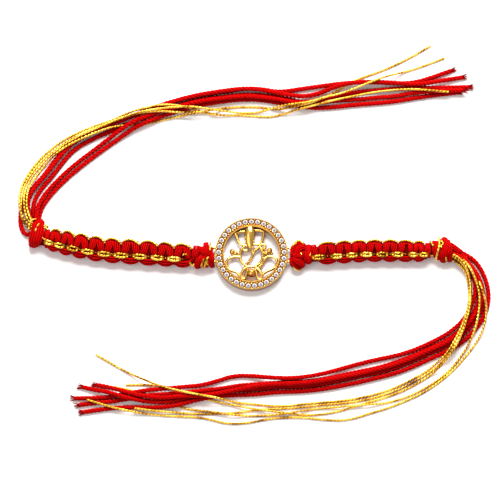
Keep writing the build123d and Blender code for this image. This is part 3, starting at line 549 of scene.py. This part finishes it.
thread_routes = {
    "left_thread_1": (
        (-61.5, 8.7, 1.75), (-62.7, 10.2, 2.2), (-63.5, 12.9, 2.2), (-63.7, 15.7, 1.9), (-63.2, 18.9, 0.3),
        (-61.6, 22.3, 0.3), (-57.6, 27.6, 0.3), (-52.3, 31.9, 0.3), (-47.8, 34.3, 0.3), (-42.9, 36.3, 0.3),
        (-38.2, 37.9, 0.3), (-33.8, 39.6, 1.9), (-30, 40.7, 2.75), (-24.3, 41.9, 2.9), (-18.5, 41.3, 2.7),
        (-15.2, 40.3, 2.15), (-9.9, 39.1, 0.8), (-3.2, 39.3, 0.3), (1.2, 38.9, 0.3), (5.1, 38.7, 0.3),
        (8.9, 39.5, 0.3), (12.7, 40.5, 2.35), (17.1, 41.6, 2.45), (21.8, 42.9, 2.45), (27, 44.1, 1.9),
        (33.6, 45.5, 1.45), (39, 46.1, 1.45), (44.5, 46.2, 2.35), (49.5, 45.7, 2.65), (54.1, 45.3, 2.65),
    ),
    "left_thread_2": (
        (-61.4, 9.7, 2), (-62, 11.5, 2), (-62.4, 14.4, 2.55), (-62.1, 17.5, 2.55), (-60.9, 20.8, 0.3),
        (-58.6, 24.2, 0.45), (-54, 28.9, 1.55), (-48.1, 32.6, 2.3), (-43.7, 34.5, 3.1), (-39.3, 36.4, 3.3),
        (-34.9, 38.2, 3.5), (-30.6, 39.5, 3.65), (-26.2, 40.3, 3.65), (-21.8, 40.9, 3.35),
        (-16.3, 41.2, 3.25), (-11.6, 40.5, 2.6), (-8.1, 40.1, 2.55), (-3.7, 39.8, 0.45), (2, 39.9, 0.4),
        (7, 41.3, 1.75), (10.5, 41.7, 3.3), (15.8, 42.2, 3.65), (20.7, 43.9, 3.3), (24.5, 45, 1.75),
        (28.6, 46.3, 3.05), (32.7, 48, 3.2), (36.9, 49.6, 3.1), (41.2, 51.2, 0.3), (46.7, 52.8, 0.3),
        (52.9, 55.3, 0.3),
    ),
    "left_thread_3": (
        (-60.9, 10.5, 2.55), (-61.8, 14, 2.55), (-61.2, 18.2, 2.5), (-59.7, 20.9, 1.1), (-57.6, 24, 0.3),
        (-54.7, 27.2, 1.75), (-51.5, 29.7, 2.65), (-46.1, 32.5, 2.65), (-40.7, 34.7, 2.85),
        (-37.1, 35.9, 2.1), (-33.4, 36.3, 1.4), (-29.2, 36.7, 0.3), (-25.1, 37.7, 0.3), (-20.7, 38.7, 0.3),
        (-16, 39.4, 2.4), (-11.9, 40.1, 2.4), (-8.1, 41.1, 0.65), (-3.7, 41.6, 0.3), (2.7, 41.5, 0.3),
        (7.5, 40.7, 0.3), (11.1, 41.1, 2.6), (16.8, 42.2, 3.05), (21.5, 44.7, 1.45), (24.2, 46.5, 0.3),
        (27.5, 48.7, 0.3), (31.4, 50.2, 0.3), (36.3, 51.9, 0.3), (41.5, 54.3, 0.3), (45.6, 56.6, 0.3),
        (49.2, 58.8, 0.3),
    ),
    "left_thread_4": (
        (-61.7, 7.8, 0.9), (-62.9, 10.1, 1.6), (-63.2, 13, 1.6), (-63, 16, 1.45), (-62.4, 19.2, 0.3),
        (-60.8, 22.3, 0.3), (-58.3, 25.6, 0.3), (-55.3, 28.5, 0.3), (-51.6, 31, 1.2), (-47.5, 33.4, 1.85),
        (-43.2, 35.2, 2.4), (-38.8, 36.8, 2.75), (-34.4, 38.3, 2.8), (-30.3, 39.4, 3), (-26.2, 39.9, 3.15),
        (-22.3, 39.7, 3.05), (-19, 39.8, 1.6), (-15.8, 40.2, 0.85), (-12.5, 39.9, 0.3), (-9.5, 39.6, 0.3),
    ),
    "right_thread_1": (
        (55.3, -1.8, 1.9), (57.2, -3, 1.8), (58.7, -4.9, 1.45), (59.4, -7.6, 0.3), (59.6, -10.6, 0.3),
        (59.5, -13.7, 1.9), (58.9, -16.8, 2), (57.8, -19.9, 2.65), (56.3, -23.3, 2.65), (53.3, -28.3, 1.9),
        (48.7, -32, 0.3), (44.8, -34.3, 0.3), (40.7, -36.5, 0.3), (35.8, -38.4, 0.3), (30, -39.9, 0.3),
        (24.5, -40.8, 0.3), (19, -41.2, 0.3), (14.1, -41.6, 0.3), (9.7, -42.2, 0.3), (5.1, -42.2, 0.3),
        (0.1, -41.6, 0.3), (-4.5, -41.2, 0.3), (-9.2, -40.5, 3.3), (-14.1, -39.7, 3.45), (-19.3, -38.7, 3.45),
        (-24.2, -37.3, 2.1), (-28.9, -35.3, 1.7), (-33.8, -32.9, 0.3), (-38.2, -30.4, 0.3),
        (-42.7, -27.7, 0.3),
    ),
    "right_thread_2": (
        (56.3, -1, 4), (58, -2.4, 4), (59.2, -4.4, 3.75), (59.9, -7.3, 2.3), (60.1, -10.6, 2.55),
        (59.8, -15.6, 3.3), (58.4, -20.5, 3.5), (57, -23.9, 3.5), (55.2, -27.3, 3.2), (52.7, -30.5, 2.25),
        (49.5, -33.3, 0.3), (45.5, -35.9, 0.3), (41.1, -38.2, 0.3), (36.7, -39.8, 0.3), (32.5, -41, 0.3),
        (28.2, -42.4, 0.3), (24.1, -43.6, 0.3), (20, -44.5, 0.3), (13.9, -44.8, 0.3), (7.8, -44, 0.65),
        (3.4, -43.5, 0.95), (-0.7, -42.9, 0.95), (-4.8, -42, 0.6), (-9.2, -41.1, 0.3), (-13.3, -40, 0.3),
        (-17.1, -38.8, 0.3), (-20.7, -37.4, 0.3), (-24.8, -36.5, 0.3), (-29.5, -36.2, 0.3),
        (-34.4, -36.3, 0.3),
    ),
    "right_thread_3": (
        (55.9, -1.4, 3.35), (57.7, -2.6, 3.2), (59.2, -4.7, 1.65), (60, -7.5, 1.35), (60.2, -10.6, 2.05),
        (60.1, -13.8, 2.15), (59.4, -17, 2.65), (58.3, -20.2, 2.9), (56.9, -23.5, 2.9), (54.9, -27, 2.6),
        (52.3, -30, 1), (49.2, -32.5, 0.3), (45.1, -35.1, 0.3), (41, -37.3, 0.3), (36, -39.2, 0.3),
        (30.3, -40.7, 0.3), (24.5, -41.5, 0.3), (19, -41.9, 0.3), (14.1, -42.5, 0.3), (9.5, -42.9, 0.3),
        (5.1, -43, 0.3), (0.7, -43.4, 0.3), (-3.4, -44, 0.3), (-7.8, -44.3, 0.3), (-12.5, -44.5, 0.3),
        (-17.4, -44.3, 0.3), (-22.9, -44, 1), (-28.4, -43.6, 1.5), (-32.2, -43, 1.5),
    ),
    "right_thread_4": (
        (56.4, -0.2, 4.35), (58.5, -2.4, 4.45), (60.4, -5, 4.35), (61.7, -8.1, 3.6), (62.6, -11.8, 3.1),
        (62.4, -15.7, 2.55), (61.6, -19.9, 2.3), (60.1, -24.1, 1.3), (57.6, -28.2, 0.3), (54.7, -31.8, 0.3),
        (51.1, -35, 0.3), (46.2, -38, 0.3), (41.2, -40.2, 0.3), (36.6, -41.4, 0.3), (32.2, -41.9, 0.95),
        (26, -42.4, 1), (19.9, -42.8, 0.3), (15.8, -43.2, 0.3), (12.2, -44, 1.1), (8.6, -44.6, 1.1),
        (4.5, -44.9, 0.3), (-0.4, -45, 0.3), (-5.3, -44.8, 0.95), (-9.7, -44.1, 0.95), (-14.1, -43.5, 0.3),
        (-18.5, -42.9, 0.3), (-23.9, -40.9, 0.3), (-29.2, -38.7, 0.3), (-33, -37.7, 0.3), (-37.7, -36.8, 0.3),
    ),
    "right_thread_5": (
        (56.7, 0.6, 3.75), (59.2, -2, 4.25), (61.1, -5, 4.25), (62.8, -9, 4.1), (64.1, -12.9, 2.8),
        (64.4, -16.2, 1.4), (63.8, -20.2, 1.35), (61.8, -24.3, 0.3), (58.9, -28.1, 0.3), (55.8, -31.7, 0.3),
        (52.2, -35, 0.3), (47, -38.6, 0.3), (41.8, -41, 0.3), (37, -42.9, 0.3), (32.5, -44.2, 0.3),
        (28.1, -45.7, 0.3), (24, -46.3, 0.3), (19.6, -46, 0.3), (13.4, -45.3, 0.3), (7.3, -45.5, 0.3),
        (2.9, -46.1, 0.3), (-0.7, -46.9, 0.3), (-6.3, -47.3, 0.3), (-12.5, -45.6, 0.3), (-16.9, -45.2, 0.3),
        (-22.3, -45, 0.3), (-28.4, -44.5, 0.3), (-34.7, -43.6, 1.55), (-40.1, -42.3, 1.55),
        (-45.2, -40.6, 1.55),
    ),
}

# Each cord is drawn from inside its knot, from halfway between its first corner and the knot's middle
knot_middles = {"left": Vector((-58.9, 6.3, 2.2)), "right": Vector((52.6, 0.9, 2.2))}

# Two threads leave their knot under the yarns: how many of their first corners lie low, and at what height
hidden_corners = {"right_thread_4": 1, "right_thread_5": 3}
hidden_height = 0.9


def drawn_route(name, route):
    """The corners of a cord's line, with one more inside its knot."""
    corners = [Vector(point) for point in route]
    for corner in corners[:hidden_corners.get(name, 0)]:
        corner.z = hidden_height
    root = corners[0].lerp(knot_middles[name.split("_")[0]], 0.5)
    return [corner * MM for corner in (root, *corners)]


for name, route in yarn_routes.items():
    line = even_steps(smooth_line(drawn_route(name, route)), yarn_step)
    strands = Strands()
    add_twisted(strands, line, yarn_diameter, phase=random.uniform(0, 6))
    add_fuzz(strands, line, yarn_diameter)
    add_fray(strands, line, yarn_diameter)
    yarn = strands.build(f"drawn_{name}", [red_cotton])
    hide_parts(name)
    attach(yarn, "root")

for name, route in thread_routes.items():
    line = even_steps(smooth_line(drawn_route(name, route)), thread_step)
    strands = Strands()
    strands.tube(line, thread_diameter / 2, sides=10)
    thread = strands.build(f"drawn_{name}", [gold_thread])
    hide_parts(name)
    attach(thread, "root")

# Knotted bands: the X, Y and width of each knot in millimetres, as in the part's source
left_knots = (
    (-55.4, 4.1, 5.9),
    (-52.3, 3.4, 6.6),
    (-48.7, 2.6, 6.9),
    (-44.7, 1.7, 6.8),
    (-40.3, 1.1, 6.9),
    (-35.7, 0.7, 6.9),
    (-30.6, 0.4, 7.0),
    (-25.7, 0.0, 6.8),
    (-21.2, -0.4, 6.5),
    (-16.5, -0.6, 6.7),
)
right_knots = (
    (18.4, 0.0, 6.0),
    (23.2, 0.3, 6.1),
    (27.5, 0.6, 6.1),
    (31.5, 0.8, 6.0),
    (35.9, 0.8, 6.0),
    (40.1, 0.8, 6.0),
    (44.3, 0.7, 5.8),
    (47.3, 0.6, 5.4),
)

# How finely each kind of run is drawn
bent_points = 10
through_points = 13
scallop_points = 11
turn_steps = 24

# Strands that make up one lobe of a knot, and the degrees between the strands of a scallop
heart_strands = 4
scallop_step = 16

# The drawn undersides stay this high over the table
lowest_strand = 0.35 * MM

# How much smaller a wrap's outer turns are
wrap_rounding = 0.5


def bent(points):
    """A smooth run that is led by three to five points."""
    points = [Vector(point) for point in points]
    out = []
    for i in range(bent_points):
        level = list(points)
        share = i / (bent_points - 1)
        while len(level) > 1:
            level = [a.lerp(b, share) for a, b in zip(level, level[1:])]
        out.append(level[0])
    return out


def through(points):
    """A smooth run that passes through all its points, given in millimetres."""
    points = [Vector(point) * MM for point in points]
    padded = [2 * points[0] - points[1], *points, 2 * points[-1] - points[-2]]
    out = []
    for i in range(through_points):
        place = min(i / (through_points - 1) * (len(points) - 1), len(points) - 1.001)
        piece = int(place)
        share = place - piece
        a, b, c, d = padded[piece:piece + 4]
        bend = 2 * a - 5 * b + 4 * c - d
        twist = 3 * b - a - 3 * c + d
        out.append(b + 0.5 * share * (c - a + share * (bend + share * twist)))
    return out


class Local:
    """Places points given along, across and up from the middle of one knot, in shares of its size."""

    def __init__(self, x, y, turn, step, width):
        self.move = Matrix.Translation((x * MM, y * MM, band_middle)) @ Matrix.Rotation(turn, 4, "Z")
        self.size = Vector((step * MM, width * MM, band_height))

    def __call__(self, points):
        return [self.move @ (Vector(point) * self.size) for point in points]


def add_heart(strands, place, up):
    """Two plump lobes side by side that lean together at the low side of a knot."""
    for side in (-1, 1):
        for number in range(heart_strands):
            share = number / (heart_strands - 1) * 2 - 1
            wide = 0.17 * share
            lift = -0.06 * share * share
            run = bent((
                (side * (0.28 + 0.8 * wide), 0.42, up * 0.12),
                (side * (0.30 + wide), 0.36, up * (0.46 + lift)),
                (side * (0.27 + wide), 0.10, up * (0.58 + lift)),
                (side * (0.20 + 0.8 * wide), -0.08, up * (0.50 + lift)),
                (side * (0.15 + 0.45 * wide), -0.18, up * 0.2),
            ))
            strands.tube(place(run), 0.8 * strand_radius * random.uniform(0.95, 1.1))


def add_scallop(strands, place, side):
    """Strands that bow round one edge of the band between two knots."""
    for number in range(-4, 4):
        angle = math.radians(scallop_step * number)
        line = []
        for i in range(scallop_points):
            share = i / (scallop_points - 1) * 2 - 1
            bow = math.sqrt(1 - (0.86 * share) ** 2)
            across = side * 0.475 * (0.1 + 0.9 * bow) * math.cos(angle)
            rise = 0.42 * math.sin(angle) * (0.7 + 0.3 * bow)
            line.append((0.56 * share, across, rise))
        strands.tube(place(line), 0.9 * strand_radius * random.uniform(0.95, 1.1))


def add_gold(strands, place, points, radius):
    """A run of gold thread over a band."""
    strands.tube(place(bent(points)), radius, sides=8, slot=gold_slot)


def add_band(knots, arc_lean, pairs):
    """One knotted band. Its gold arcs end arc_lean further in, and its first knots have a gold pair each."""
    strands = Strands()
    places = []
    for (x, y, width), (next_x, next_y, next_width) in zip(knots, knots[1:]):
        step = math.hypot(next_x - x, next_y - y)
        turn = math.atan2(next_y - y, next_x - x)
        places.append(Local(x, y, turn, step, width))
        middle = Local((x + next_x) / 2, (y + next_y) / 2, turn, step, (width + next_width) / 2)
        arc = ((-0.46, 0.36, 0.30), (-0.2, 0.50, 0.36), (0.15, 0.50, 0.44), (0.5, 0.36 - arc_lean, 0.42))
        bead = ((-0.05, -0.18, 0.24), (0, -0.17, 0.3), (0.05, -0.18, 0.24))
        add_scallop(strands, middle, 1)
        add_scallop(strands, middle, -1)
        add_gold(strands, middle, arc, gold_radius)
        add_gold(strands, middle, bead, bead_radius)
    last_x, last_y, last_width = knots[-1]
    places.append(Local(last_x, last_y, turn, step, last_width))
    for place in places:
        for up in (1, -1):
            add_heart(strands, place, up)
        # Cores under the strands, painted dark as shade, show in the gaps between them
        for across in (-0.15, 0, 0.15):
            # The near core of the last knot is short, as it would show past the band's end
            reach = 0.3 if place is places[-1] and across < 0 else 0.6
            core = place([(-0.6, across, 0), (0, across, 0), (reach, across, 0)])
            strands.tube(core, band_core_radius, sides=10, slot=shaded_core_slot)
    for place in places[:pairs]:
        for across, height, bow in ((-0.17, 0.52, 0.03), (-0.22, 0.47, -0.09)):
            thread = (
                (-0.38, across, 0.3),
                (-0.18, across + bow, height),
                (0.18, across + bow, height),
                (0.38, across, 0.3),
            )
            add_gold(strands, place, thread, pair_radius)
    return strands


def add_wraps(strands, x, y, width, length, count, lean=0.0, radius=strand_radius):
    """Closed turns of strand side by side round the band, the outer ones smaller, placed in millimetres."""
    for number in range(count):
        share = (number + 0.5) / count * 2 - 1
        small = math.sqrt(1 - wrap_rounding * share * share)
        half = (width / 2 * MM - radius) * small
        high = (band_height / 2 - radius) * small
        line = []
        for i in range(turn_steps + 1):
            angle = 2 * math.pi * i / turn_steps
            along = x * MM + share * (length / 2 * MM - radius) + lean * MM * math.cos(angle)
            across = y * MM + half * math.cos(angle)
            line.append(Vector((along, across, band_middle + high * math.sin(angle))))
        strands.tube(line, radius)


def add_knot_core(strands, places_x, y):
    """The core of an end knot, dark red in painted shade, which shows in the gaps between its turns."""
    line = [Vector((x * MM, y * MM, band_middle)) for x in places_x]
    strands.tube(line, knot_core_radius, sides=12, slot=shaded_core_slot)


def add_bundle(strands, points, width, count):
    """Strands side by side along the points, as a plump bundle, and the same on the underside."""
    middle = through(points)
    last = len(middle) - 1
    sag = 0.22 * width * MM
    for up in (True, False):
        for number in range(count):
            share = (number + 0.5) / count * 2 - 1
            line = []
            for i, point in enumerate(middle):
                ahead = middle[min(i + 1, last)] - middle[max(i - 1, 0)]
                side = Vector((-ahead.y, ahead.x, 0)).normalized()
                plump = 0.72 + 0.28 * math.sin(math.pi * i / last)
                drawn_in = point.lerp(middle[last // 2], 0.16 * share * share)
                place = drawn_in + share * plump * width / 2 * MM * side
                place.z -= sag * share * share
                if not up:
                    place.z = max(band_height - place.z, lowest_strand)
                line.append(place)
            radius = 0.55 * width * MM / count
            strands.tube(line, radius * random.uniform(0.97, 1.08))


def add_bundles(strands, bundles, golds):
    """Bundles of red strands and runs of gold thread, read off the photo."""
    for points, width, count in bundles:
        add_bundle(strands, points, width, count)
    for points, radius in golds:
        strands.tube(through(points), radius * MM, sides=8, slot=gold_slot)


# Where the bands end. A row per bundle of strands: the points of its middle line, its width and its strands.
# A row per gold thread: its points and its radius.
left_lump_bundles = (
    (((-13.2, -0.6, 3.7), (-12.4, -2.1, 3.7), (-12.6, -3.5, 2.6)), 1.9, 3),
    (((-12.5, 3.1, 2.4), (-12.4, 1.9, 3.7), (-11.9, 0.6, 4.2)), 1.6, 3),
    (((-14.7, 1.5, 3.4), (-13.3, 0.6, 4.3), (-11.9, -0.2, 4.3), (-10.8, -0.7, 3.4)), 1.8, 4),
    (((-13.3, -1.2, 4.1), (-14.2, -2.1, 4.1), (-14.7, -3.2, 3.3), (-14.6, -4.0, 2.1)), 2.0, 4),
    (((-10.9, 0.2, 3.4), (-10.9, -1.3, 4.0), (-11.0, -2.5, 3.6), (-10.6, -3.8, 2.1)), 1.6, 4),
)
left_lump_golds = (
    (((-11.8, -1.3, 4.2), (-12.4, -2.2, 4.2), (-12.8, -3.1, 3.7)), 0.27),
    (((-12.9, -1.7, 4.2), (-13.3, -2.4, 4.0), (-13.8, -3.7, 3.2)), 0.27),
    (((-12.0, -2.4, 4.2), (-12.6, -3.2, 3.7), (-13.1, -4.1, 2.9)), 0.3),
    (((-11.4, 0.5, 4.2), (-11.3, 1.9, 3.7), (-11.2, 3.1, 2.6)), 0.27),
    (((-12.4, -2.9, 3.6), (-11.8, -3.3, 3.2)), 0.2),
    (((-17.0, -2.4, 3.2), (-16.3, -3.3, 2.6), (-15.7, -3.1, 3.0)), 0.25),
    (((-18.9, -0.8, 3.9), (-18.2, -0.4, 4.0), (-17.4, -0.8, 3.9)), 0.25),
)
right_lump_bundles = (
    (((11.3, -0.8, 3.9), (11.2, 1.0, 4.0), (12.4, 2.3, 3.6), (13.8, 2.8, 3.0), (14.8, 2.1, 3.0)), 1.3, 3),
    (((12.6, -0.5, 4.2), (12.7, 0.5, 4.5), (13.4, 1.4, 4.3), (14.5, 1.7, 3.8)), 1.6, 3),
    (((10.6, -0.3, 3.4), (11.8, -0.7, 4.3), (13.1, -0.9, 4.3), (14.1, -1.2, 3.6)), 1.1, 3),
    (((10.6, -1.3, 3.2), (11.2, -2.6, 3.4), (12.2, -3.4, 2.8), (13.4, -4.0, 2.1)), 1.3, 3),
    (((11.3, -1.5, 4.0), (12.6, -2.2, 4.1), (13.6, -2.8, 3.5), (14.5, -3.3, 2.5)), 1.8, 4),
    (((14.6, 1.9, 3.0), (14.8, -0.2, 3.6), (14.5, -2.3, 2.7)), 1.4, 3),
)
right_lump_golds = (
    (((10.9, 1.5, 3.4), (11.8, 2.9, 3.5), (13.1, 3.6, 3.1), (14.3, 2.5, 3.4)), 0.27),
    (((10.7, 1.0, 3.5), (11.4, 2.1, 3.9), (12.4, 2.8, 3.8)), 0.2),
    (((11.5, -2.8, 2.9), (11.8, -4.0, 2.1), (12.8, -4.4, 1.7), (13.8, -4.1, 1.8)), 0.27),
    (((13.5, -0.1, 4.2), (13.8, -0.6, 4.2)), 0.17),
    (((16.1, -0.1, 3.9), (16.1, -1.0, 3.9)), 0.17),
)
left_knot_bundles = (
    (((-58.0, 9.8, 2.2), (-58.4, 7.5, 4.0), (-58.8, 5.2, 4.4), (-59.4, 3.1, 3.9), (-59.3, 2.0, 2.2)), 3.8, 6),
    (((-57.4, 3.1, 2.6), (-56.7, 2.7, 2.2), (-55.9, 2.2, 1.8)), 1.0, 3),
)
left_knot_golds = (
    (((-59.1, 9.7, 2.7), (-60.1, 9.3, 3.0), (-60.8, 8.2, 3.2), (-61.0, 6.5, 3.1)), 0.27),
    (((-58.2, 8.0, 4.3), (-58.8, 7.2, 4.5)), 0.22),
    (((-58.9, 6.7, 4.55), (-59.3, 5.9, 4.5)), 0.22),
    (((-57.4, 4.3, 3.9), (-56.5, 3.6, 3.9)), 0.22),
    (((-56.9, 7.5, 3.3), (-56.3, 7.8, 3.2), (-55.7, 7.2, 3.0)), 0.3),
    (((-56.9, 7.0, 3.5), (-56.2, 6.9, 3.5), (-55.5, 6.3, 3.3)), 0.27),
)
right_knot_bundles = (
    (((50.1, 3.6, 2.3), (50.1, 1.3, 3.8), (50.2, -0.5, 2.3)), 1.3, 2),
    (((52.7, 4.6, 2.2), (53.0, 2.5, 4.0), (53.0, 0.8, 4.4), (52.6, -0.9, 4.0), (52.7, -2.3, 2.2)), 2.7, 5),
    (((53.7, 3.9, 2.5), (54.2, 1.8, 4.0), (54.4, 0.0, 4.0), (54.2, -2.2, 2.3)), 1.5, 3),
    (((51.6, 3.2, 3.3), (51.5, 0.9, 4.0), (51.2, -1.5, 2.6)), 1.1, 2),
    (((53.9, 2.7, 3.0), (55.2, 1.9, 3.0), (57.5, 0.4, 2.6)), 1.6, 3),
)
right_knot_golds = (
    (((51.4, 4.6, 2.7), (51.5, 3.0, 4.0), (51.4, 1.5, 4.4), (51.0, 0.0, 4.1), (50.5, -1.8, 2.5)), 0.32),
    (((51.9, 3.5, 3.9), (52.4, 2.6, 4.2), (52.3, 2.0, 4.4)), 0.25),
    (((52.0, 2.1, 4.4), (52.0, 1.2, 4.5)), 0.25),
    (((53.3, -1.3, 3.9), (53.4, -2.1, 2.9)), 0.27),
    (((48.9, 3.3, 3.3), (49.4, 2.5, 3.8), (49.9, 1.7, 4.0)), 0.32),
    (((48.1, -0.8, 2.3), (49.0, -0.5, 2.4), (50.0, -0.4, 2.4)), 0.25),
)

# The bands, each with the lump at its bail and the wrap at its end knot, and then the end knots
left_band = add_band(left_knots, arc_lean=0.12, pairs=len(left_knots) - 1)
add_wraps(left_band, -12.5, -0.4, width=5.8, length=4.0, count=8, lean=0.3)
add_bundles(left_band, left_lump_bundles, left_lump_golds)
add_wraps(left_band, -56.2, 4.5, width=6.2, length=1.3, count=2)

right_band = add_band(right_knots, arc_lean=0.0, pairs=len(right_knots))
add_wraps(right_band, 12.5, -0.2, width=6.2, length=3.8, count=8, lean=0.3)
add_wraps(right_band, 15.6, -0.1, width=5.8, length=2.4, count=5)
add_bundles(right_band, right_lump_bundles, right_lump_golds)
add_wraps(right_band, 48.65, 1.0, width=4.6, length=1.3, count=2)

left_knot = Strands()
add_wraps(left_knot, -58.85, 5.95, width=6.6, length=3.4, count=6, lean=0.35, radius=turn_radius)
add_knot_core(left_knot, (-60.4, -58.85, -57.3), 5.95)
add_bundles(left_knot, left_knot_bundles, left_knot_golds)

right_knot = Strands()
add_wraps(right_knot, 52.05, 1.1, width=5.6, length=5.0, count=9, lean=-0.2, radius=turn_radius)
add_knot_core(right_knot, (49.0, 52, 54.3), 1.1)
add_bundles(right_knot, right_knot_bundles, right_knot_golds)

for strands, name in ((left_band, "left_band"), (right_band, "right_band"), (left_knot, "left_knot"),
                      (right_knot, "right_knot")):
    drawn = strands.build(f"drawn_{name}", band_materials)
    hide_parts(name)
    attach(drawn, "root")

# Floor and light
half = 2
floor_corners = [(-half, -half, 0), (half, -half, 0), (half, half, 0), (-half, half, 0)]
floor_mesh = bpy.data.meshes.new("floor")
floor_mesh.from_pydata(floor_corners, [], [(0, 1, 2, 3)])
floor = bpy.data.objects.new("floor", floor_mesh)
bpy.context.scene.collection.objects.link(floor)
paper, tree, shader = new_material("paper")
shader.inputs["Base Color"].default_value = (0.93, 0.93, 0.93, 1)
shader.inputs["Roughness"].default_value = 0.9
shader.inputs["Specular IOR Level"].default_value = 0.1
floor_mesh.materials.append(paper)


def area_light(name, place, size, power):
    """A square soft light that faces the medallion."""
    data = bpy.data.lights.new(name, "AREA")
    data.size = size
    data.energy = power
    light = bpy.data.objects.new(name, data)
    light.location = place
    light.rotation_euler = Vector(place).to_track_quat("Z", "Y").to_euler()
    bpy.context.scene.collection.objects.link(light)


area_light("key", (0.05, 0.62, 0.7), size=0.55, power=20)
area_light("fill", (-0.4, -0.3, 0.8), size=0.8, power=3)
world = bpy.data.worlds.new("world")
world.use_nodes = True
background = world.node_tree.nodes["Background"]
background.inputs["Color"].default_value = (1, 0.92, 0.89, 1)
background.inputs["Strength"].default_value = 0.4
bpy.context.scene.world = world
bpy.context.scene.view_settings.view_transform = "Standard"
